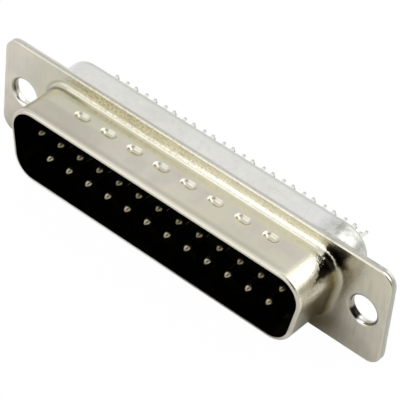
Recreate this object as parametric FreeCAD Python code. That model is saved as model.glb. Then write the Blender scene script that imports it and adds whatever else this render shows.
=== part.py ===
"""A 25-way D-sub plug with solder cups.

Two drawn sheet-metal shells clamp a two-part insulator, and the insulator traps 25 turned contacts.
The shells are held together at the two mounting holes, where the front shell's holes are drawn
through the rear shell and curled over its back.

Millimetres. X runs along the length, +Z is the wide side of the D, and the mouth faces -Y.
The origin is midway between the mounting holes, on the front face of the flange.
"""

import FreeCAD
import Part
import math
import os

# Sheet and flange
sheet = 0.42
flange_corner = 1.75
flange_rim = 0.915
edge_round = 0.12

# Front shell: a D-shaped collar drawn forward from the flange
side_angle = 10.0
mouth_beside_row = 2.86
mouth_above_row = 2.76
mouth_corner = 2.5
mouth_depth = 6.04
collar_fillet = 0.85
rim_round = 0.34

# Dimples that grip the mating shell, in one row on the wide side
dimple_count = 8
dimple_pitch = 3.7
dimple_length = 2.3
dimple_width = 1.6
dimple_depth = 0.35
dimple_edge = 0.5
dimple_setback = 2.4
dimple_lift = 0.005

# Mounting holes and the lips that hold the two shells together
hole_from_mouth = 4.04
hole_from_end = 3.0
hole_radius = 1.65
hole_round = 0.4
lip_wall = 0.28
lip_curl = 0.42
lip_end = 0.2

# Rear shell: a D-shaped hood drawn back from the flange, with an inturned lip
hood_beside_mouth = 1.07
hood_above_mouth = 1.18
hood_corner = 3.2
hood_depth = 4.5
hood_fillet = 0.5
hood_round = 0.65
hood_lip = 0.9

# Insulator, split across its length behind the flange
nose_setback = 0.25
split_depth = 1.9
tail_overhang = 0.35

# Contacts
pin_pitch = 2.77
row_spacing = 2.84
long_row = 13
short_row = 12
pin_radius = 0.5
pin_setback = 1.04
nose_length = 0.75
nose_flat = 0.16
barrel_radius = 0.66
shoulder_radius = 1.12
shoulder_length = 0.8
cup_radius = 0.93
cup_bore = 0.64
cup_end = 8.35
cup_depth = 3.35
scoop_length = 2.0
scoop_ramp = 0.9

# Clearances
slide_gap = 0.06
contact_gap = 0.04
lip_gap = 0.02
seat_gap = 0.02

# Worked out from the sizes above
mouth_width = (long_row - 1) * pin_pitch + 2 * mouth_beside_row
mouth_height = row_spacing + 2 * mouth_above_row
hole_spacing = mouth_width + 2 * hole_from_mouth
hood_width = mouth_width + 2 * hood_beside_mouth
hood_height = mouth_height + 2 * hood_above_mouth
flange_width = hole_spacing + 2 * hole_from_end
flange_height = hood_height + 2 * flange_rim
hood_bore_width = hood_width - 2 * sheet
hood_bore_height = hood_height - 2 * sheet
hood_bore_corner = hood_corner - sheet
beyond = 5.0
tolerance = 0.01


def point(x, y, z):
    return FreeCAD.Vector(x, y, z)


def segment(start, end):
    return Part.LineSegment(start, end).toShape()


def arc_in_plane(centre_x, centre_z, radius, start_angle, end_angle, y):
    """An arc in the plane at y, from start_angle to end_angle in degrees."""
    ends = []
    for angle in (start_angle, (start_angle + end_angle) / 2, end_angle):
        turn = math.radians(angle)
        ends.append(point(centre_x + radius * math.cos(turn), y, centre_z + radius * math.sin(turn)))
    return Part.Arc(ends[0], ends[1], ends[2]).toShape()


def joined_arcs(arcs):
    """A closed wire of the arcs with a straight edge from each to the next."""
    edges = []
    for index, arc in enumerate(arcs):
        following = arcs[(index + 1) % len(arcs)]
        edges.append(arc)
        edges.append(segment(arc.lastVertex().Point, following.firstVertex().Point))
    return Part.Wire(edges)


def d_outline(width, height, corner, y, grow=0.0):
    """The D in the plane at y, moved outwards by grow. Its wide side is up."""
    centre_top = width / 2 - corner
    centre_up = height / 2 - corner
    centre_bottom = centre_top - 2 * centre_up * math.tan(math.radians(side_angle))
    radius = corner + grow
    arcs = [
        arc_in_plane(centre_top, centre_up, radius, 90, -side_angle, y),
        arc_in_plane(centre_bottom, -centre_up, radius, -side_angle, -90, y),
        arc_in_plane(-centre_bottom, -centre_up, radius, -90, side_angle - 180, y),
        arc_in_plane(-centre_top, centre_up, radius, side_angle - 180, -270, y),
    ]
    return joined_arcs(arcs)


def flange_outline(y):
    centre_x = flange_width / 2 - flange_corner
    centre_z = flange_height / 2 - flange_corner
    arcs = [
        arc_in_plane(centre_x, centre_z, flange_corner, 90, 0, y),
        arc_in_plane(centre_x, -centre_z, flange_corner, 0, -90, y),
        arc_in_plane(-centre_x, -centre_z, flange_corner, -90, -180, y),
        arc_in_plane(-centre_x, centre_z, flange_corner, -180, -270, y),
    ]
    return joined_arcs(arcs)


def slab(wire, length):
    return Part.Face(wire).extrude(point(0, length, 0))


def mouth_prism(grow, start, end):
    """The D of the mouth, moved outwards by grow, from start to end along Y."""
    return slab(d_outline(mouth_width, mouth_height, mouth_corner, start, grow), end - start)


def hood_prism(grow, start, end):
    """The D inside the hood, moved outwards by grow, from start to end along Y."""
    wire = d_outline(hood_bore_width, hood_bore_height, hood_bore_corner, start, grow)
    return slab(wire, end - start)


def space(start, end):
    """A block wider and taller than the flange, from start to end along Y."""
    width = flange_width + 2 * beyond
    height = flange_height + 2 * beyond
    return Part.makeBox(width, end - start, height, point(-width / 2, start, -height / 2))


def edges_at(shape, y, width, height):
    """The edges in the plane at y that lie within width and height about the axis."""
    found = []
    for edge in shape.Edges:
        box = edge.BoundBox
        in_plane = abs(box.YMin - y) < tolerance and abs(box.YMax - y) < tolerance
        across = max(-box.XMin, box.XMax) < width / 2 + tolerance
        upright = max(-box.ZMin, box.ZMax) < height / 2 + tolerance
        if in_plane and across and upright:
            found.append(edge)
    return found


def rounded(shape, radius, y, width, height):
    return shape.makeFillet(radius, edges_at(shape, y, width, height))


def flange_plate(front):
    """One flange sheet with its front face at y = front and both its outer edges rounded."""
    plate = slab(flange_outline(front), sheet)
    for y in (front, front + sheet):
        plate = rounded(plate, edge_round, y, flange_width, flange_height)
    return plate


def hole_places():
    return [point(-hole_spacing / 2, 0, 0), point(hole_spacing / 2, 0, 0)]


def hole_cutters(radius):
    cutters = []
    for place in hole_places():
        start = place + point(0, -beyond, 0)
        cutters.append(Part.makeCylinder(radius, 2 * beyond, start, point(0, 1, 0)))
    return cutters


def lip():
    """One drawn hole edge: rounded in front, and curled over the rear shell behind."""
    entry = hole_radius + hole_round
    outside = hole_radius + lip_wall
    back = 2 * sheet + lip_gap
    end = back + lip_end
    curl_start = end - lip_curl
    turn = math.sqrt(0.5)
    entry_middle = point(entry - hole_round * turn, hole_round - hole_round * turn, 0)
    curl_middle = point(hole_radius + lip_curl * (1 - turn), curl_start + lip_curl * turn, 0)
    curl_outside = outside + lip_curl
    bore_start = point(hole_radius, hole_round, 0)
    bore_end = point(hole_radius, curl_start, 0)
    curl_inside = point(hole_radius + lip_curl, end, 0)
    edges = [
        Part.Arc(point(entry, 0, 0), entry_middle, bore_start).toShape(),
        segment(bore_start, bore_end),
        Part.Arc(bore_end, curl_middle, curl_inside).toShape(),
        segment(curl_inside, point(curl_outside, end, 0)),
        segment(point(curl_outside, end, 0), point(curl_outside, back, 0)),
        segment(point(curl_outside, back, 0), point(outside, back, 0)),
        segment(point(outside, back, 0), point(outside, sheet, 0)),
        segment(point(outside, sheet, 0), point(entry, sheet, 0)),
        segment(point(entry, sheet, 0), point(entry, 0, 0)),
    ]
    return Part.Face(Part.Wire(edges)).revolve(point(0, 0, 0), point(0, 1, 0), 360)


def dimple_radii():
    """The radius of a dimple's bottom, and the distance from there to the centre of its edge."""
    half = dimple_width / 2
    reach = (half ** 2 + dimple_depth ** 2) / (2 * dimple_depth)
    return reach - dimple_edge, reach


def dimple_section(side):
    """Half of a dimple's section, from its middle to side. It runs smoothly out to the wall's face."""
    bottom, reach = dimple_radii()
    half = dimple_width / 2
    up = point(0, 0, 1)
    share = bottom / reach
    floor_centre = up * (bottom - dimple_depth)
    edge_centre = side * half - up * dimple_edge
    bend = floor_centre + (edge_centre - floor_centre) * share
    slope = math.asin(half / reach) / 2
    floor_middle = floor_centre + (side * math.sin(slope) - up * math.cos(slope)) * bottom
    edge_middle = edge_centre + (up * math.cos(slope) - side * math.sin(slope)) * dimple_edge
    edges = [
        Part.Arc(up * -dimple_depth, floor_middle, bend).toShape(),
        Part.Arc(bend, edge_middle, side * half).toShape(),
        segment(side * half, side * half + up),
        segment(side * half + up, up),
        segment(up, up * -dimple_depth),
    ]
    return Part.Face(Part.Wire(edges))


def dimple_cutter():
    """The space that one dimple opens, with the wall's face at z = 0."""
    straight = dimple_length - dimple_width
    start = point(-straight / 2, 0, 0)
    pieces = []
    for side in (-1, 1):
        half = dimple_section(point(0, side, 0))
        half.translate(start)
        pieces.append(half.extrude(point(straight, 0, 0)))
        end = dimple_section(point(1, 0, 0)).revolve(point(0, 0, 0), point(0, 0, 1), 360)
        end.translate(point(side * straight / 2, 0, 0))
        pieces.append(end)
    return pieces[0].fuse(pieces[1:]).removeSplitter()


def dimple_back():
    """The bar with round ends that bulges the wall's far side, with the wall's face at z = 0."""
    straight = dimple_length - dimple_width
    bottom = dimple_radii()[0]
    height = bottom - dimple_depth
    radius = bottom + sheet
    bar = Part.makeCylinder(radius, straight, point(-straight / 2, 0, height), point(1, 0, 0))
    for side in (-1, 1):
        bar = bar.fuse(Part.makeSphere(radius, point(side * straight / 2, 0, height)))
    return bar.removeSplitter()


def at_dimples(upright):
    """Copies of a shape that is made at a face z = 0, one at each dimple.

    Each copy stands proud of the wall by dimple_lift, so that no two faces coincide.
    """
    face = mouth_height / 2 + sheet + dimple_lift
    copies = []
    for index in range(dimple_count):
        x = (index - (dimple_count - 1) / 2) * dimple_pitch
        copy = upright.copy()
        copy.translate(point(x, -dimple_setback, face))
        copies.append(copy)
    return copies


def collar_outside():
    """The outside of the flange and collar, with the rim rounded and the foot filleted."""
    width = mouth_width + 2 * sheet
    height = mouth_height + 2 * sheet
    body = flange_plate(0).fuse(mouth_prism(sheet, -mouth_depth, sheet)).removeSplitter()
    body = rounded(body, collar_fillet, 0, width, height)
    return rounded(body, rim_round, -mouth_depth, width, height)


def throat(gap):
    """The space inside the collar, with its flared back, kept clear of the sheet by gap."""
    back = sheet + gap
    bore = mouth_prism(-gap, -mouth_depth - beyond, back + beyond)
    body = bore.fuse(space(back, back + beyond)).removeSplitter()
    return rounded(body, collar_fillet + sheet + gap, back, mouth_width, mouth_height)


def front_shell():
    body = collar_outside().cut(throat(0))
    room = mouth_prism(tolerance, -mouth_depth, 0)
    bulges = [bulge.common(room) for bulge in at_dimples(dimple_back())]
    body = body.fuse(bulges).cut(at_dimples(dimple_cutter()))
    body = body.cut(hole_cutters(hole_radius + hole_round))
    for place in hole_places():
        ring = lip()
        ring.translate(place)
        body = body.fuse(ring)
    return body.removeSplitter()


def rear_shell():
    back = 2 * sheet
    body = flange_plate(sheet).fuse(hood_prism(sheet, sheet, hood_depth)).removeSplitter()
    body = rounded(body, hood_fillet, back, hood_width, hood_height)
    body = rounded(body, hood_round, hood_depth, hood_width, hood_height)
    bore = hood_prism(0, sheet - beyond, hood_depth - sheet)
    bore = rounded(bore, hood_round - sheet, hood_depth - sheet, hood_width, hood_height)
    inside = bore.fuse(space(sheet - beyond, sheet)).removeSplitter()
    inside = rounded(inside, hood_fillet + sheet, sheet, hood_bore_width, hood_bore_height)
    body = body.cut(inside).cut(hood_prism(-hood_lip, 0, hood_depth + beyond))
    return body.cut(hole_cutters(hole_radius + lip_wall + lip_gap)).removeSplitter()


def contact_places():
    """The contact centres, with +1 or -1 for the way that each row's solder cups open."""
    places = []
    for index in range(long_row):
        places.append((point((index - (long_row - 1) / 2) * pin_pitch, 0, row_spacing / 2), 1))
    for index in range(short_row):
        places.append((point((index - (short_row - 1) / 2) * pin_pitch, 0, -row_spacing / 2), -1))
    return places


def bores(radius, start, end):
    """One cylinder on each contact's axis, from start to end along Y."""
    cylinders = []
    for place, _ in contact_places():
        foot = place + point(0, start, 0)
        cylinders.append(Part.makeCylinder(radius, end - start, foot, point(0, 1, 0)))
    return cylinders


def front_insulator():
    """The nose in the mouth and the flange that the front shell holds from in front."""
    flange = hood_prism(-slide_gap, -nose_setback, split_depth)
    body = throat(slide_gap).common(flange)
    return body.cut(bores(barrel_radius + contact_gap, -beyond, split_depth + beyond)).removeSplitter()


def rear_insulator():
    """The block that fills the hood, with a tail that stands out through the hood's lip."""
    shelf = hood_depth - sheet - slide_gap
    block = hood_prism(-slide_gap, split_depth, shelf)
    block = rounded(block, hood_round - sheet, shelf, hood_width, hood_height)
    tail = hood_prism(-hood_lip - slide_gap, split_depth, hood_depth + tail_overhang)
    body = block.fuse(tail).removeSplitter()
    pocket_end = split_depth + shoulder_length + 2 * seat_gap
    body = body.cut(bores(shoulder_radius + contact_gap, split_depth - beyond, pocket_end))
    return body.cut(bores(cup_radius + contact_gap, split_depth, hood_depth + beyond)).removeSplitter()


def contact_profile():
    """Half of the contact's section: a bullet-nosed pin, a barrel, a shoulder and a hollow cup."""
    tip = pin_setback - mouth_depth
    nose_end = tip + nose_length
    nose_width = pin_radius - nose_flat
    nose_reach = (nose_width ** 2 + nose_length ** 2) / (2 * nose_width)
    nose_turn = math.asin(nose_length / nose_reach) / 2
    shoulder_start = split_depth + seat_gap
    shoulder_end = shoulder_start + shoulder_length
    cup_floor = cup_end - cup_depth
    nose_centre = point(pin_radius - nose_reach, nose_end, 0)
    nose_middle = nose_centre + point(math.cos(nose_turn), -math.sin(nose_turn), 0) * nose_reach
    nose_edge = point(nose_flat, tip, 0)
    corners = [
        point(pin_radius, nose_end, 0),
        point(pin_radius, -nose_setback, 0),
        point(barrel_radius, -nose_setback, 0),
        point(barrel_radius, shoulder_start, 0),
        point(shoulder_radius, shoulder_start, 0),
        point(shoulder_radius, shoulder_end, 0),
        point(cup_radius, shoulder_end, 0),
        point(cup_radius, cup_end, 0),
        point(cup_bore, cup_end, 0),
        point(cup_bore, cup_floor, 0),
        point(0, cup_floor, 0),
        point(0, tip, 0),
        nose_edge,
    ]
    edges = [Part.Arc(nose_edge, nose_middle, corners[0]).toShape()]
    for start, end in zip(corners, corners[1:]):
        edges.append(segment(start, end))
    return Part.Wire(edges)


def scoop():
    """The cutter that opens one side of a cup, with a curved ramp at its inner end."""
    ramp_start = cup_end - scoop_length
    side = cup_radius + beyond
    turn = math.sqrt(0.5)
    low = point(-side, ramp_start, 0)
    high = point(-side, ramp_start - scoop_ramp, scoop_ramp)
    middle = point(-side, ramp_start - scoop_ramp * turn, scoop_ramp * (1 - turn))
    far_high = point(-side, cup_end + beyond, beyond)
    far_low = point(-side, cup_end + beyond, 0)
    near_high = point(-side, ramp_start - scoop_ramp, beyond)
    edges = [
        Part.Arc(low, middle, high).toShape(),
        segment(high, near_high),
        segment(near_high, far_high),
        segment(far_high, far_low),
        segment(far_low, low),
    ]
    return Part.Face(Part.Wire(edges)).extrude(point(2 * side, 0, 0))


def contact():
    """One contact on the Y axis, with its cup open to +Z."""
    body = Part.Face(contact_profile()).revolve(point(0, 0, 0), point(0, 1, 0), 360)
    return body.cut(scoop())


def contacts():
    upright = contact()
    solids = {}
    for number, (place, side) in enumerate(contact_places(), 1):
        copy = upright.copy()
        if side < 0:
            copy.rotate(point(0, 0, 0), point(0, 1, 0), 180)
        copy.translate(place)
        solids["contact_%02d" % number] = copy
    return solids


def main():
    os.makedirs("parts", exist_ok=True)
    nodes = {
        "front_shell": front_shell(),
        "rear_shell": rear_shell(),
        "front_insulator": front_insulator(),
        "rear_insulator": rear_insulator(),
    }
    nodes.update(contacts())
    for name, shape in nodes.items():
        shape.exportStep("parts/%s.step" % name)


main()
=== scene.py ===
import math

import bpy
from mathutils import Matrix, Vector


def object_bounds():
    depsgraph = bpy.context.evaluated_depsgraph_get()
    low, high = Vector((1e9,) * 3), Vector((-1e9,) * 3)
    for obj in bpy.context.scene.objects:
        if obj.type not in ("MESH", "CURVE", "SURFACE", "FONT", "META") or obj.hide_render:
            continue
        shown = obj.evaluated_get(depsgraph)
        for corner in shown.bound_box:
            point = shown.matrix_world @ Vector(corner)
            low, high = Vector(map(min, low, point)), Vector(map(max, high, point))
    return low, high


MM = 0.001


def mm(*lengths):
    """Lengths in millimetres, turned into metres."""
    return tuple(length * MM for length in lengths)


def radians(*angles):
    """Angles in degrees, turned into radians."""
    return tuple(math.radians(angle) for angle in angles)


# The photograph is square, and its camera stands in front of the mouth, above it and to the right
CAMERA_PLACE = Vector((121.791, -162.658, 183.387)) * MM
CAMERA_AZIMUTH = 36.438
CAMERA_ELEVATION = 42.089
CAMERA_ROLL = 6.324
FOCAL_PIXELS = 2607.56
PHOTO_PIXELS = 400
SENSOR = 36.0
CLIP_START = 0.01
CLIP_END = 10.0

# The D of the mouth: the middle and the radius of its top corners and the lean of its sides, and its sheet
CORNER_X = 16.98 * MM
CORNER_Z = 1.68 * MM
CORNER_RADIUS = 2.5 * MM
SIDE_LEAN = math.tan(math.radians(10.0))
SHEET = 0.42 * MM
WALL_OUTSIDE = CORNER_RADIUS + SHEET


def off_wall(*lengths):
    """Distances from the outside of the collar's wall in millimetres, as distances from the D's core."""
    return tuple(WALL_OUTSIDE + length * MM for length in lengths)


# The mix node's sockets for colours
MIX_SHARE = 0
MIX_FIRST = 6
MIX_SECOND = 7
MIX_RESULT = 2

# Noises, each with its scale, its detail and its roughness
CLOUD_NOISE = (260.0, 4.0, 0.6)
TINGE_NOISE = (130.0, 3.0, 0.6)
GRAIN_NOISE = (5200.0, 2.0, 0.6)
DENT_NOISE = (1100.0, 3.0, 0.6)
POLISH_NOISE = (900.0, 4.0, 0.65)
STREAK_NOISE = (1900.0, 3.0, 0.7)
SPECK_NOISE = (3300.0, 3.0, 0.7)
RAGGED_NOISE = (1500.0, 4.0, 0.7)
MOTTLE_NOISE = (1300.0, 5.0, 0.75)
BLOTCH_NOISE = (700.0, 4.0, 0.7)
PLASTIC_GRAIN = (4000.0, 3.0, 0.6)
PLASTIC_CLOUDS = (500.0, 2.0, 0.5)
CONTACT_GRAIN = (6000.0, 2.0, 0.6)
CONTACT_POLISH = (1500.0, 3.0, 0.5)
CONTACT_WANDER = (800.0, 2.0, 0.5)
NOISE_MIDDLE = 0.5
NOISE_RANGE = (0.3, 0.7)

# Below, a pair is where an easing starts and ends, and four numbers add its values there.
# Three lengths are a band: where it starts, where it is full and where it ends.

# Plating on drawn sheet: its plain colour, the one of its clouds and the tinge of its wide patches
NICKELS = [(0.595, 0.56, 0.485), (0.70, 0.665, 0.58), (0.63, 0.605, 0.46)]
NICKEL_ROUGHNESS = 0.17
NICKEL_GRAIN = 0.007 * MM
TINS = [(0.77, 0.765, 0.73), (0.70, 0.695, 0.66), (0.76, 0.755, 0.76)]
TIN_ROUGHNESS = 0.36
TIN_GRAIN = 0.002 * MM
CLOUD_SHARE = (0.32, 0.68)
TINGE_SHARE = (0.45, 0.65, 0.0, 0.7)
SMOOTHER = -0.05
ROUGHER = 0.06
DENT_DEPTH = 0.007 * MM

# Painted shade on the collar's left end, the flange's streaks, and its darker, greyer part above the
# collar's left corner
FLANGE_START = mm(-0.6, -0.2)
COLLAR_DARKER = (0.46, 0.435, 0.355)
LEFT_SHADE_END = mm(-13.0, -2.0)
LEFT_SHADE_SHARE = 0.6
STREAK = (0.47, 0.44, 0.37)
STREAK_STRETCH = (1.0, 1.0, 0.12)
STREAK_SHARE = (0.48, 0.72, 0.0, 0.45)
FLANGE_COOL = (0.44, 0.44, 0.42)
COOL_END = off_wall(1.5, 6.0)
COOL_X = mm(-17.0, -12.0)
COOL_SHARE = 0.45

# The strip round the collar is yellowish and grainy, because the sheet was drawn into the fillet there. On
# its right part, a painted highlight lies above and painted shade below
STRIP_START = off_wall(0.05, 0.35)
STRIP_END = off_wall(1.1, 2.6)
STRIP_OLIVE = (0.70, 0.66, 0.50)
STRIP_HIGHLIGHT = (0.86, 0.83, 0.72)
STRIP_SHADE = (0.40, 0.37, 0.28)
SPECK_OLIVE = (0.38, 0.335, 0.20)
OLIVE_TO_PALE = mm(-9.0, 6.0)
SHADE_TO_HIGHLIGHT = mm(3.6, 5.0)
STRIP_PAINT_X = mm(-18.5, -13.5)
STRIP_PAINT_LEAST = 0.3
STRIP_PAINT_MOST = 0.85
SPECK_START = mm(-18.5, -16.5)
SPECK_EDGE = (0.42, 0.62)
LEFT_SPECKS = 0.9
RIGHT_SPECKS = 0.45
DEEP_GRAIN = 5.0
LESS_GRAIN_X = mm(0.0, 12.0)
LESS_GRAIN = 0.55
GRAINY_END = mm(15.5, 17.5)
GRAINY_SHARE = 0.6

# Painted shade darkens the fillet round the left part of the collar, and a line along its foot at the left
# corner
UPPER_HALF = mm(1.0, 2.5)
FILLET_OLIVE = (0.33, 0.30, 0.22)
FILLET_BAND = off_wall(0.25, 0.45, 0.80)
FILLET_SHARE = 0.8
LINE_DARK = (0.20, 0.18, 0.11)
LINE_BAND = mm(-1.1, -0.75, -0.4)
LINE_END = mm(-16.0, -13.0)
LINE_SHARE = 0.8

# The yellowish foot on the collar's top
FOOT_OLIVE = (0.64, 0.63, 0.50)
FOOT_FACE = off_wall(0.05, 0.3)
TOP_FACE = mm(3.9, 4.3)
FOOT_DEPTH = mm(-2.1, -1.3)
FOOT_SHIFT = 1.3 * MM
FOOT_SHIFT_X = mm(-12.0, 0.0)
FOOT_SHARE = 0.65

# The rim of the collar, with a painted highlight on its corner and a darker band behind it. Painted light
# from the floor brightens its lower part
EDGE_HIGHLIGHT = (0.84, 0.82, 0.74)
RIM_CORNER_BAND = mm(-6.0, -5.75, -5.5)
RIM_CORNER_SHARE = 0.4
RIM_BAND = mm(-5.75, -5.40, -4.75)
RIM_DARK_FADE = mm(13.5, 17.0)
RIM_DARK_MOST = 0.6
RIM_DARK_LEAST = 0.15
RIM_FACE = (0.56, 0.53, 0.45)
RIM_BRIGHT = (0.90, 0.89, 0.86)
RIM_LOW = mm(-3.6, -1.6)
RIM_FACE_END = mm(-5.95, -5.75)

# The edges of the flange: painted highlights on the long edges, and darker short edges
EDGE_BAND = mm(0.02, 0.12, 0.26)
LONG_EDGE = mm(5.9, 6.15)
EDGE_FADE = mm(-24.0, -8.0)
EDGE_LEAST = 0.25
SIDE_EDGE = (0.40, 0.38, 0.31)
SHORT_EDGE = mm(26.1, 26.35)
SHORT_EDGE_DEPTH = mm(0.01, 0.05)

# A painted black reflection at the foot of the collar's right top corner. Angles run from straight up to
# the right, and a fraying is how far an edge wanders
PAINTED_DARK = (0.02, 0.016, 0.010)
PAINTED_DARK_TOP = math.radians(20.0)
PAINTED_DARK_START = (PAINTED_DARK_TOP - 0.04, PAINTED_DARK_TOP + 0.06)
PAINTED_DARK_SLANT = math.radians(11.5) / MM
PAINTED_DARK_FRAYING = 0.9
PAINTED_DARK_BELOW = radians(56.0, 67.0)
BELOW_FRAYING = 0.4
PAINTED_DARK_END = off_wall(0.9, 2.4)

# The fillet's light ripple, left out of the painted black reflection, and the painted brown fringe above it
RIPPLE_BAND = off_wall(0.30, 0.42, 0.56)
RIPPLE_FRAYING = 0.6 * MM
FRINGE_TOP = (PAINTED_DARK_TOP - 0.45, PAINTED_DARK_TOP + 0.05)
FRINGE_START = off_wall(0.55, 0.85)
FRINGE_SHARE = 0.65

# Painted brown shade on the right side of the collar, and on the flange beside its lower part
BROWN = (0.21, 0.168, 0.078)
BROWN_ANGLE = radians(50.0, 64.0)
BROWN_DEPTH = mm(-5.9, -2.4)
BROWN_RISE = mm(0.6, 2.2)
BROWN_SHIFT = -2.3 * MM
BROWN_FRAYING = 1.6 * MM
BROWN_END = off_wall(0.1, 0.6)
LOW_FLANGE_END = off_wall(0.5, 4.5)
LOW_FLANGE_Z = mm(-4.5, -2.0)
LOW_FLANGE_X = mm(0.0, 6.0)
LOW_FLANGE_SHARE = 0.6

# A painted dark glint on the rounding of the flange's upper right corner
GLINT_CENTRE = mm(26.0, 0.1, 5.95)
GLINT_END = mm(0.5, 0.85)
GLINT_BAND = mm(0.0, 0.06, 0.13)

# The mounting holes, with the rounding at their mouths, and painted light and shade on their walls. Their
# sides are ways from the hole's axis
HOLE_CENTRE_X = 23.52 * MM
HOLE_END = mm(1.78, 2.02)
HOLE_WALL = (0.34, 0.31, 0.25)
HOLE_PALE = (0.80, 0.79, 0.74)
HOLE_PALE_X = (-0.6, -0.35)
HOLE_PALE_Z = (-0.6, -0.3)
HOLE_BLACK = (0.02, 0.018, 0.015)
HOLE_BLACK_SIDE = (-0.65, 0.0, -0.76)
HOLE_BLACK_EDGE = (0.86, 0.97)

# Painted shade on the inner faces of the collar and its throat
COLLAR_INSIDE_SHADE = (0.12, 0.115, 0.10)
INWARD = (-0.5, -0.1)
INSIDE_SHADE_REACH = CORNER_RADIUS + 1.3 * MM
INSIDE_SHADE_END = (INSIDE_SHADE_REACH, INSIDE_SHADE_REACH * 1.2)

# The hood is mottled, with a darker edge and darker blotches at its right end. Painted shade darkens the
# seam between the two shells
TIN_MOTTLE = (0.62, 0.63, 0.58)
MOTTLE_SHARE = (0.46, 0.70, 0.0, 0.55)
TIN_EDGE = (0.55, 0.56, 0.50)
TIN_EDGE_BAND = mm(3.55, 4.1, 4.5)
TIN_EDGE_SHARE = 0.85
TIN_DARKER = (0.38, 0.385, 0.34)
TIN_DARKER_X = mm(14.8, 17.2)
BLOTCH_SHARE = (0.38, 0.62, 0.35, 0.95)
SEAM = (0.48, 0.48, 0.45)
SEAM_BAND = mm(0.38, 0.46, 0.66)

# Black moulded plastic
BLACK = (0.0005, 0.0005, 0.0006)
PALER_BLACK = (0.0008, 0.0008, 0.00096)
PLASTIC_ROUGHNESS = (0.42, 0.52)
PLASTIC_SHINE = 0.04
PLASTIC_DEPTH = 0.003 * MM

# The contacts: gold with painted light on the lower row of pins and painted shade on the upper row, tin on
# the solder cups, and painted shade at the cups' ends
PIN_RADIUS = 0.5 * MM
PALE_GOLD = (0.37, 0.33, 0.24)
SHADED_GOLD = (0.20, 0.175, 0.115)
CUP_TIN = (0.88, 0.87, 0.84)
CUP_START = mm(4.0, 5.2)
CUP_WANDER = 0.8 * MM
CUP_END_SHADE = (0.60, 0.60, 0.56)
CUP_END_SHADE_START = mm(8.0, 8.25)
CONTACT_ROUGHNESS = (0.09, 0.16)
CONTACT_DEPTH = 0.002 * MM

# The room that the metal reflects: a level all round, with soft patches
ROOM_LEVEL = 0.93
PATCHES = [
    {"name": "window on the left", "towards": (-0.46, -0.86, 0.18), "core": 24, "edge": 40, "level": 1.65},
    {"name": "ceiling lamp", "towards": (-0.44, -0.30, 0.85), "core": 7, "edge": 15, "level": 1.6},
    {"name": "window behind", "towards": (0.36, 0.60, 0.71), "core": 13, "edge": 38, "level": 2.1},
    {"name": "dim right", "towards": (0.90, 0.43, -0.05), "core": 15, "edge": 34, "level": 0.65},
    {"name": "dim front", "towards": (0.70, -0.62, 0.35), "core": 25, "edge": 35, "level": 0.8},
    {"name": "dark front", "towards": (0.45, -0.61, 0.655), "core": 17, "edge": 23, "level": 0.01},
]

WHITE = (1.0, 1.0, 1.0)
FLOOR_HALF = 0.9
FLOOR_COLOUR = (0.92, 0.92, 0.91)
FLOOR_GLOW = 0.985


def opaque(colour):
    """A colour with its alpha. A colour that a node gives stays as it is."""
    return colour if isinstance(colour, bpy.types.NodeSocket) else (*colour, 1.0)


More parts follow.
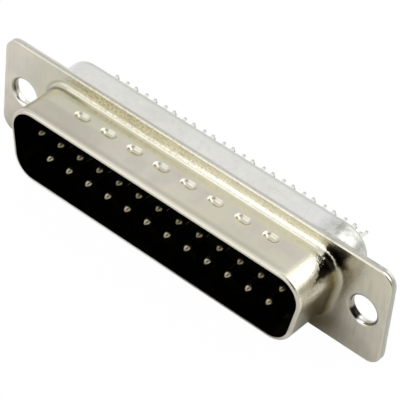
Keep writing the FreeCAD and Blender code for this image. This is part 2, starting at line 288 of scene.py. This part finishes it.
class Nodes:
    """A short way to write a node tree. What a function calls a value is a number or a node's output."""

    def __init__(self, tree):
        self.tree = tree
        tree.nodes.clear()

    def add(self, kind, inputs=None, **settings):
        """A node of one kind, with its inputs and its settings."""
        node = self.tree.nodes.new(kind)
        for name, value in settings.items():
            setattr(node, name, value)
        for name, value in (inputs or {}).items():
            self.put(node.inputs[name], value)
        return node

    def put(self, socket, value):
        if isinstance(value, bpy.types.NodeSocket):
            self.tree.links.new(value, socket)
        else:
            socket.default_value = value

    def math(self, operation, first, second=0.0):
        return self.add("ShaderNodeMath", {0: first, 1: second}, operation=operation).outputs[0]

    def times(self, first, *others):
        """The product of all its values."""
        for other in others:
            first = self.math("MULTIPLY", first, other)
        return first

    def rest(self, value):
        """What the value leaves of 1."""
        return self.math("SUBTRACT", 1.0, value)

    def vector(self, operation, *vectors):
        """An operation on vectors that gives a vector, or a number where it measures them."""
        measures = operation in ("LENGTH", "DISTANCE", "DOT_PRODUCT")
        node = self.add("ShaderNodeVectorMath", dict(enumerate(vectors)), operation=operation)
        return node.outputs["Value" if measures else "Vector"]

    def axes(self, vector):
        """The X, Y and Z of a vector."""
        return self.add("ShaderNodeSeparateXYZ", {0: vector}).outputs

    def across(self, x, z):
        """The vector that has this X and this Z, and no Y."""
        return self.add("ShaderNodeCombineXYZ", {"X": x, "Z": z}).outputs[0]

    def where(self, system="Object"):
        """The shaded point in the piece's own frame, or in another system of coordinates."""
        return self.add("ShaderNodeTexCoord").outputs[system]

    def spread(self, value, low, high, to_low=0.0, to_high=1.0):
        """The value from low to high, eased and carried to to_low and to_high."""
        inputs = {"Value": value, "From Min": low, "From Max": high, "To Min": to_low, "To Max": to_high}
        return self.add("ShaderNodeMapRange", inputs, interpolation_type="SMOOTHSTEP").outputs["Result"]

    def fade(self, value, low, high, most=1.0):
        """The most up to low, eased down to 0 at high."""
        return self.spread(value, low, high, most, 0.0)

    def band(self, value, marks):
        """1 at the middle mark, eased down to 0 at the first and the last."""
        first, middle, last = marks
        return self.times(self.spread(value, first, middle), self.fade(value, middle, last))

    def blend(self, share, first, second):
        """The first colour, with its share of the second one over it."""
        inputs = {MIX_SHARE: share, MIX_FIRST: opaque(first), MIX_SECOND: opaque(second)}
        return self.add("ShaderNodeMix", inputs, data_type="RGBA").outputs[MIX_RESULT]

    def level(self, share, first, second):
        """The first number, with its share of the second one over it."""
        inputs = {"Factor": share, "A": first, "B": second}
        return self.add("ShaderNodeMix", inputs, data_type="FLOAT").outputs[0]

    def noise(self, place, scale, detail, roughness):
        inputs = {"Vector": place, "Scale": scale, "Detail": detail, "Roughness": roughness}
        return self.add("ShaderNodeTexNoise", inputs).outputs["Fac"]

    def bump(self, depth, height, **normal):
        """Relief of this depth, over the relief that Normal brings."""
        inputs = {"Strength": 1.0, "Distance": depth, "Height": height, **normal}
        return self.add("ShaderNodeBump", inputs).outputs[0]

    def surface(self, inputs):
        """The shader with these inputs, as the surface of the material."""
        shader = self.add("ShaderNodeBsdfPrincipled", inputs)
        self.add("ShaderNodeOutputMaterial", {"Surface": shader.outputs[0]})


def material(name):
    """A new material, and a way to write its nodes."""
    made = bpy.data.materials.new(name)
    made.use_nodes = True
    return made, Nodes(made.node_tree)


def plated_sheet(name, colours, roughness, grain_depth, stains_and_light):
    """Bright plating on drawn sheet, with clouds, wide patches, dents, fine grain, stains, and painted
    light and shade.
    """
    made, nodes = material(name)
    place = nodes.where()
    plain, cloudy, tinged = colours
    tint = nodes.blend(nodes.spread(nodes.noise(place, *CLOUD_NOISE), *CLOUD_SHARE), plain, cloudy)
    tint = nodes.blend(nodes.spread(nodes.noise(place, *TINGE_NOISE), *TINGE_SHARE), tint, tinged)
    tint, depth = stains_and_light(nodes, place, tint, grain_depth)
    polish = nodes.noise(place, *POLISH_NOISE)
    rough = nodes.spread(polish, *NOISE_RANGE, roughness + SMOOTHER, roughness + ROUGHER)
    dents = nodes.bump(DENT_DEPTH, nodes.noise(place, *DENT_NOISE))
    grain = nodes.bump(depth, nodes.noise(place, *GRAIN_NOISE), Normal=dents)
    nodes.surface({"Base Color": tint, "Metallic": 1.0, "Roughness": rough, "Normal": grain})
    return made


def beside_collar(nodes, x, z):
    """The arrow from the nearest point of the core of the collar's D to a point, as seen from the front."""
    core_z = nodes.math("MINIMUM", nodes.math("MAXIMUM", z, -CORNER_Z), CORNER_Z)
    lean = nodes.times(nodes.math("SUBTRACT", CORNER_Z, core_z), SIDE_LEAN)
    half = nodes.math("SUBTRACT", CORNER_X, lean)
    core_x = nodes.math("MINIMUM", nodes.math("MAXIMUM", x, nodes.times(half, -1.0)), half)
    return nodes.across(nodes.math("SUBTRACT", x, core_x), nodes.math("SUBTRACT", z, core_z))


class FrontShell:
    """The stains of the front shell and its painted light and shade, all painted by place over its plating.
    """

    def __init__(self, nodes, place, tint):
        self.nodes = nodes
        self.place = place
        self.tint = tint
        axes = nodes.axes(place)
        self.x = axes["X"]
        self.y = axes["Y"]
        self.z = axes["Z"]
        self.away = beside_collar(nodes, self.x, self.z)
        self.distance = nodes.vector("LENGTH", self.away)
        self.on_flange = nodes.spread(self.y, *FLANGE_START)
        self.on_collar = nodes.rest(self.on_flange)
        self.upper = nodes.spread(self.z, *UPPER_HALF)
        self.right = nodes.spread(self.x, *OLIVE_TO_PALE)
        self.in_strip = nodes.times(nodes.spread(self.distance, *STRIP_START),
                                    nodes.fade(self.distance, *STRIP_END))
        self.ragged = nodes.math("SUBTRACT", nodes.noise(place, *RAGGED_NOISE), NOISE_MIDDLE)

    def paint(self, share, colour):
        self.tint = self.nodes.blend(share, self.tint, colour)

    def frayed(self, value, fraying):
        """The value moved to and fro by the noise, so that an edge that follows it is ragged."""
        return self.nodes.math("ADD", value, self.nodes.times(self.ragged, fraying))

    def shade_left_and_streak(self):
        """Painted shade on the collar's left end, the flange's streaks, and the flange's darker, greyer
        part above the left corner.
        """
        nodes = self.nodes
        # Painted shade: the collar grows darker towards its left end
        self.paint(nodes.times(self.on_collar, nodes.fade(self.x, *LEFT_SHADE_END, LEFT_SHADE_SHARE)), COLLAR_DARKER)
        drawn_out = nodes.vector("MULTIPLY", self.place, STREAK_STRETCH)
        streaks = nodes.spread(nodes.noise(drawn_out, *STREAK_NOISE), *STREAK_SHARE)
        self.paint(nodes.times(streaks, self.on_flange), STREAK)
        cool = nodes.times(nodes.fade(self.distance, *COOL_END, COOL_SHARE), self.on_flange)
        self.paint(nodes.times(cool, nodes.fade(self.x, *COOL_X), self.upper), FLANGE_COOL)

    def stain_and_light_strip(self):
        """The strip round the collar: olive stain on the left, and on the right a painted highlight above
        and painted shade below.
        """
        nodes = self.nodes
        # Painted shade below and a painted highlight above, which the olive stain replaces towards the left
        stain_and_light = nodes.blend(nodes.spread(self.z, *SHADE_TO_HIGHLIGHT), STRIP_SHADE, STRIP_HIGHLIGHT)
        stain_and_light = nodes.blend(self.right, STRIP_OLIVE, stain_and_light)
        speck_colour = nodes.blend(self.right, SPECK_OLIVE, COLLAR_DARKER)
        most = nodes.spread(self.x, *OLIVE_TO_PALE, LEFT_SPECKS, RIGHT_SPECKS)
        specks = nodes.spread(nodes.noise(self.place, *SPECK_NOISE), *SPECK_EDGE, 0.0, most)
        specks = nodes.times(specks, nodes.spread(self.x, *SPECK_START))
        share = nodes.times(self.in_strip, nodes.spread(self.x, *STRIP_PAINT_X, STRIP_PAINT_LEAST, STRIP_PAINT_MOST))
        self.paint(share, nodes.blend(specks, stain_and_light, speck_colour))

    def stain_and_shade_foot(self):
        """Painted shade on the fillet and in a line at the collar's left corner, and the yellowish foot on
        the collar's top.
        """
        nodes = self.nodes
        # Painted shade on the left part of the fillet
        fillet = nodes.times(nodes.band(self.distance, FILLET_BAND), nodes.rest(self.right))
        self.paint(nodes.times(fillet, self.upper, FILLET_SHARE), FILLET_OLIVE)
        top = nodes.times(nodes.fade(self.distance, *FOOT_FACE), nodes.spread(self.z, *TOP_FACE))
        shifted = nodes.math("ADD", self.y, nodes.fade(self.x, *FOOT_SHIFT_X, FOOT_SHIFT))
        self.paint(nodes.times(top, nodes.spread(shifted, *FOOT_DEPTH, 0.0, FOOT_SHARE)), FOOT_OLIVE)
        # A line of painted shade along the foot at the left corner
        line = nodes.times(nodes.band(self.y, LINE_BAND), nodes.fade(self.x, *LINE_END, LINE_SHARE))
        self.paint(nodes.times(line, self.upper), LINE_DARK)

    def paint_rim_light(self):
        """A painted highlight on the rim's corner, a darker band behind the rim, and the rim's face, with
        painted light from the floor on its lower part.
        """
        nodes = self.nodes
        # Painted highlight on the rounded corner of the rim
        self.paint(nodes.times(nodes.band(self.y, RIM_CORNER_BAND), RIM_CORNER_SHARE), EDGE_HIGHLIGHT)
        share = nodes.spread(self.x, *RIM_DARK_FADE, RIM_DARK_MOST, RIM_DARK_LEAST)
        self.paint(nodes.times(nodes.band(self.y, RIM_BAND), share), COLLAR_DARKER)
        # Painted light from the floor on the lower part of the rim's face
        face = nodes.blend(nodes.spread(self.z, *RIM_LOW), RIM_BRIGHT, RIM_FACE)
        self.paint(nodes.fade(self.y, *RIM_FACE_END), face)

    def paint_edges(self):
        """Painted highlights on the flange's long edges, and its darker short ones."""
        nodes = self.nodes
        long_edge = nodes.spread(nodes.math("ABSOLUTE", self.z), *LONG_EDGE)
        # Painted highlight along the long edges, fainter to the left
        lit_edge = nodes.times(nodes.band(self.y, EDGE_BAND), long_edge)
        self.paint(nodes.times(lit_edge, nodes.spread(self.x, *EDGE_FADE, EDGE_LEAST, 1.0)), EDGE_HIGHLIGHT)
        short_edge = nodes.spread(nodes.math("ABSOLUTE", self.x), *SHORT_EDGE)
        short_edge = nodes.times(short_edge, nodes.rest(long_edge))
        self.paint(nodes.times(short_edge, nodes.spread(self.y, *SHORT_EDGE_DEPTH)), SIDE_EDGE)

    def paint_dark_reflections(self):
        """Painted black reflections and painted brown shade on the right end of the collar, with ragged
        edges.
        """
        nodes = self.nodes
        way = nodes.axes(self.away)
        angle = nodes.math("ARCTAN2", way["X"], way["Z"])
        slanted = nodes.math("ADD", angle, nodes.times(self.y, PAINTED_DARK_SLANT))
        lower = nodes.fade(self.frayed(angle, BELOW_FRAYING), *PAINTED_DARK_BELOW)
        near = nodes.fade(self.distance, *PAINTED_DARK_END)
        # Painted brown shade in a fringe above the fillet's ripple
        fringe = nodes.times(nodes.spread(slanted, *FRINGE_TOP, 0.0, FRINGE_SHARE), lower, near)
        fringe = nodes.times(fringe, nodes.spread(self.distance, *FRINGE_START))
        brown = nodes.math("MAXIMUM", self.brown_side(angle), self.brown_flange())
        # Painted brown shade on the collar's side, on the flange beside it and in the fringe
        self.paint(nodes.math("MAXIMUM", brown, fringe), BROWN)
        # The painted black reflection on the collar's corner, left out at the fillet's ripple
        upper = nodes.spread(self.frayed(slanted, PAINTED_DARK_FRAYING), *PAINTED_DARK_START)
        ripple = nodes.band(self.frayed(self.distance, RIPPLE_FRAYING), RIPPLE_BAND)
        black = nodes.times(upper, lower, near, nodes.rest(ripple))
        self.paint(nodes.math("MAXIMUM", black, self.corner_glint()), PAINTED_DARK)

    def brown_side(self, angle):
        """1 in the painted brown shade on the collar's side, which comes nearer to the rim lower down."""
        nodes = self.nodes
        shifted = nodes.math("ADD", self.y, nodes.spread(self.z, *BROWN_RISE, 0.0, BROWN_SHIFT))
        deep = nodes.spread(self.frayed(shifted, BROWN_FRAYING), *BROWN_DEPTH)
        side = nodes.times(nodes.spread(angle, *BROWN_ANGLE), nodes.fade(self.distance, *BROWN_END))
        return nodes.times(deep, side)

    def brown_flange(self):
        """The share of painted brown shade beside the lower right part of the collar."""
        nodes = self.nodes
        near = nodes.fade(self.distance, *LOW_FLANGE_END, LOW_FLANGE_SHARE)
        low = nodes.fade(self.z, *LOW_FLANGE_Z)
        return nodes.times(near, low, nodes.spread(self.x, *LOW_FLANGE_X))

    def corner_glint(self):
        """1 in the painted dark glint on the rounding of the flange's upper right corner."""
        nodes = self.nodes
        near = nodes.fade(nodes.vector("DISTANCE", self.place, GLINT_CENTRE), *GLINT_END)
        return nodes.times(near, nodes.band(self.y, GLINT_BAND))

    def light_and_shade_holes(self):
        """The walls of the mounting holes, darker with painted shade, with painted light on one side and
        black painted shade on the other.
        """
        nodes = self.nodes
        beside = nodes.math("SUBTRACT", nodes.math("ABSOLUTE", self.x), HOLE_CENTRE_X)
        from_centre = nodes.across(beside, self.z)
        side = nodes.vector("NORMALIZE", from_centre)
        way = nodes.axes(side)
        pale = nodes.times(nodes.spread(way["X"], *HOLE_PALE_X), nodes.fade(way["Z"], *HOLE_PALE_Z))
        black = nodes.spread(nodes.vector("DOT_PRODUCT", side, HOLE_BLACK_SIDE), *HOLE_BLACK_EDGE)
        # Painted light on one side of each hole's wall and black painted shade on the other
        colour = nodes.blend(black, nodes.blend(pale, HOLE_WALL, HOLE_PALE), HOLE_BLACK)
        self.paint(nodes.fade(nodes.vector("LENGTH", from_centre), *HOLE_END), colour)

    def shade_inside(self):
        """Painted shade on the faces of the collar and its throat that look inwards."""
        nodes = self.nodes
        outward = nodes.vector("NORMALIZE", self.away)
        facing = nodes.vector("DOT_PRODUCT", nodes.where("Normal"), outward)
        inward = nodes.fade(facing, *INWARD)
        # Painted shade inside the collar
        self.paint(nodes.times(inward, nodes.fade(self.distance, *INSIDE_SHADE_END)), COLLAR_INSIDE_SHADE)

    def grain(self, depth):
        """The depth of the grain, which is greater in the strip and at the collar's right end."""
        nodes = self.nodes
        strip = nodes.times(self.in_strip, nodes.spread(self.x, *LESS_GRAIN_X, 1.0, LESS_GRAIN))
        end = nodes.times(nodes.spread(self.x, *GRAINY_END, 0.0, GRAINY_SHARE), self.on_collar)
        return nodes.spread(nodes.math("MAXIMUM", strip, end), 0.0, 1.0, depth, depth * DEEP_GRAIN)


def stain_and_light_front(nodes, place, tint, grain_depth):
    """The front shell's tint with its stains and its painted light and shade, and the depth of its grain.
    """
    shell = FrontShell(nodes, place, tint)
    shell.shade_left_and_streak()
    shell.stain_and_light_strip()
    shell.stain_and_shade_foot()
    shell.paint_rim_light()
    shell.paint_edges()
    shell.paint_dark_reflections()
    shell.light_and_shade_holes()
    shell.shade_inside()
    return shell.tint, shell.grain(grain_depth)


def stain_and_shade_rear(nodes, place, tint, grain_depth):
    """The rear shell's tint with its mottle, darker blotches at its end, its darker edges and painted shade
    in the seam, and the same grain.
    """
    axes = nodes.axes(place)
    tint = nodes.blend(nodes.spread(nodes.noise(place, *MOTTLE_NOISE), *MOTTLE_SHARE), tint, TIN_MOTTLE)
    blotches = nodes.spread(nodes.noise(place, *BLOTCH_NOISE), *BLOTCH_SHARE)
    # Darker blotches at the hood's right end
    tint = nodes.blend(nodes.times(blotches, nodes.spread(axes["X"], *TIN_DARKER_X)), tint, TIN_DARKER)
    edge = nodes.times(nodes.band(axes["Y"], TIN_EDGE_BAND), TIN_EDGE_SHARE)
    tint = nodes.blend(edge, tint, TIN_EDGE)
    # Painted shade in the seam between the two shells
    return nodes.blend(nodes.band(axes["Y"], SEAM_BAND), tint, SEAM), grain_depth


def plastic():
    """Black moulded plastic with a faint matt grain."""
    made, nodes = material("black_plastic")
    place = nodes.where()
    clouds = nodes.noise(place, *PLASTIC_CLOUDS)
    tint = nodes.blend(clouds, BLACK, PALER_BLACK)
    rough = nodes.spread(clouds, *NOISE_RANGE, *PLASTIC_ROUGHNESS)
    grain = nodes.bump(PLASTIC_DEPTH, nodes.noise(place, *PLASTIC_GRAIN))
    shine = {"Specular IOR Level": PLASTIC_SHINE}
    nodes.surface({"Base Color": tint, "Roughness": rough, "Normal": grain, **shine})
    return made


def contact_metal():
    """Turned brass, gold plated at the pin and tinned at the solder cup."""
    made, nodes = material("gold_and_tin")
    place = nodes.where()
    axes = nodes.axes(place)
    # Painted light and shade: pale gold on the lower row of pins, darker gold on the upper row
    gold = nodes.blend(nodes.spread(axes["Z"], -PIN_RADIUS, PIN_RADIUS), PALE_GOLD, SHADED_GOLD)
    wander = nodes.times(nodes.noise(place, *CONTACT_WANDER), CUP_WANDER)
    tinned = nodes.spread(nodes.math("ADD", axes["Y"], wander), *CUP_START)
    tint = nodes.blend(tinned, gold, CUP_TIN)
    # Painted shade at the ends of the solder cups
    tint = nodes.blend(nodes.spread(axes["Y"], *CUP_END_SHADE_START), tint, CUP_END_SHADE)
    rough = nodes.spread(nodes.noise(place, *CONTACT_POLISH), *NOISE_RANGE, *CONTACT_ROUGHNESS)
    grain = nodes.bump(CONTACT_DEPTH, nodes.noise(place, *CONTACT_GRAIN))
    nodes.surface({"Base Color": tint, "Metallic": 1.0, "Roughness": rough, "Normal": grain})
    return made


def dress(names, finish):
    """One finish on every slot of the named pieces."""
    for name in names:
        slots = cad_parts[name].data.materials
        for index in range(len(slots)):
            slots[index] = finish
        if not len(slots):
            slots.append(finish)


def add_camera():
    """The photograph's camera, turned by its azimuth, its elevation and its roll."""
    azimuth = math.radians(CAMERA_AZIMUTH)
    elevation = math.radians(CAMERA_ELEVATION)
    roll = math.radians(CAMERA_ROLL)
    forward = Vector((-math.cos(elevation) * math.sin(azimuth), math.cos(elevation) * math.cos(azimuth),
                      -math.sin(elevation)))
    level = forward.cross(Vector((0, 0, 1))).normalized()
    right = level * math.cos(roll) + level.cross(forward) * math.sin(roll)
    up = right.cross(forward)
    data = bpy.data.cameras.new("camera")
    data.sensor_width = SENSOR
    data.lens = FOCAL_PIXELS * SENSOR / PHOTO_PIXELS
    data.clip_start = CLIP_START
    data.clip_end = CLIP_END
    camera = bpy.data.objects.new("camera", data)
    axes = Matrix((right, up, -forward)).transposed().to_4x4()
    camera.matrix_world = Matrix.Translation(CAMERA_PLACE) @ axes
    bpy.context.scene.collection.objects.link(camera)
    bpy.context.scene.camera = camera


def add_room():
    """White where the camera sees it. The object sees soft bright and dark patches."""
    world = bpy.data.worlds.new("room")
    world.use_nodes = True
    bpy.context.scene.world = world
    nodes = Nodes(world.node_tree)
    towards = nodes.where("Generated")
    level = ROOM_LEVEL
    for patch in PATCHES:
        along = nodes.vector("DOT_PRODUCT", towards, Vector(patch["towards"]).normalized())
        edge = math.cos(math.radians(patch["edge"]))
        core = math.cos(math.radians(patch["core"]))
        level = nodes.level(nodes.spread(along, edge, core), level, patch["level"])
    seen = nodes.add("ShaderNodeLightPath").outputs["Is Camera Ray"]
    strength = nodes.level(seen, level, 1.0)
    shader = nodes.add("ShaderNodeBackground", {"Color": opaque(WHITE), "Strength": strength})
    nodes.add("ShaderNodeOutputWorld", {"Surface": shader.outputs[0]})


def add_floor():
    """A pale table that the flange's lower edge touches. Its shadow is faint to the camera."""
    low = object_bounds()[0][2]
    mesh = bpy.data.meshes.new("floor")
    corners = [(-1, -1), (1, -1), (1, 1), (-1, 1)]
    mesh.from_pydata([(x * FLOOR_HALF, y * FLOOR_HALF, low) for x, y in corners], [], [(0, 1, 2, 3)])
    floor = bpy.data.objects.new("floor", mesh)
    bpy.context.scene.collection.objects.link(floor)
    made, nodes = material("pale_table")
    seen = nodes.times(nodes.add("ShaderNodeLightPath").outputs["Is Camera Ray"], FLOOR_GLOW)
    matt = nodes.add("ShaderNodeBsdfDiffuse", {"Color": opaque(FLOOR_COLOUR)})
    glow = nodes.add("ShaderNodeEmission", {"Color": opaque(WHITE), "Strength": 1.0})
    mixed = nodes.add("ShaderNodeMixShader", {0: seen, 1: matt.outputs[0], 2: glow.outputs[0]})
    nodes.add("ShaderNodeOutputMaterial", {"Surface": mixed.outputs[0]})
    mesh.materials.append(made)


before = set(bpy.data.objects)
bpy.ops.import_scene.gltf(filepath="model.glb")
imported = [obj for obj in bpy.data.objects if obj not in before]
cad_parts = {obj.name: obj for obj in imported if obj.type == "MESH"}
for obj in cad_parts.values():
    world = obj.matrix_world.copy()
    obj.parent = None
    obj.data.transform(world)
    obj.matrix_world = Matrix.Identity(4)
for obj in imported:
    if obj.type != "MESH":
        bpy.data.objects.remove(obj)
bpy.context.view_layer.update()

dress(["front_shell"], plated_sheet("nickel", NICKELS, NICKEL_ROUGHNESS, NICKEL_GRAIN, stain_and_light_front))
dress(["rear_shell"], plated_sheet("tin", TINS, TIN_ROUGHNESS, TIN_GRAIN, stain_and_shade_rear))
dress(["front_insulator", "rear_insulator"], plastic())
dress([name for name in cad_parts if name.startswith("contact_")], contact_metal())
add_camera()
add_room()
add_floor()
bpy.context.scene.view_settings.view_transform = "Standard"
